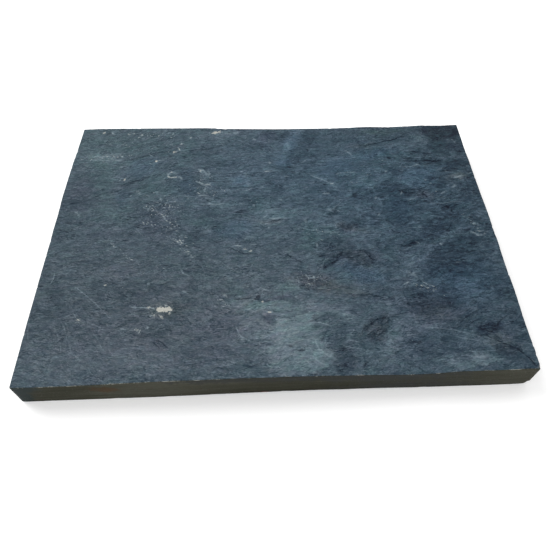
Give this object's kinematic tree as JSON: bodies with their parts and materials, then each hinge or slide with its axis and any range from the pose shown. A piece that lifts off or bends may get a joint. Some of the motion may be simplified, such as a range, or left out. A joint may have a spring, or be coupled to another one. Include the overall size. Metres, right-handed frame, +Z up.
{
  "type": "stepping stone",
  "caption": "Flat rectangular phyllite stepping stone with natural cleft faces and sawn sides, laid on the ground to walk on.",
  "frame": {"origin": "middle of the footprint, on the ground", "axes": "+X along the length, +Y towards the back edge, +Z up through the thickness"},
  "size_m": [0.403, 0.2942, 0.0294],
  "materials": {
    "phyllite": "matte"
  },
  "bodies": {
    "root": {"phyllite_slab": "phyllite"}
  },
  "joints": []
}
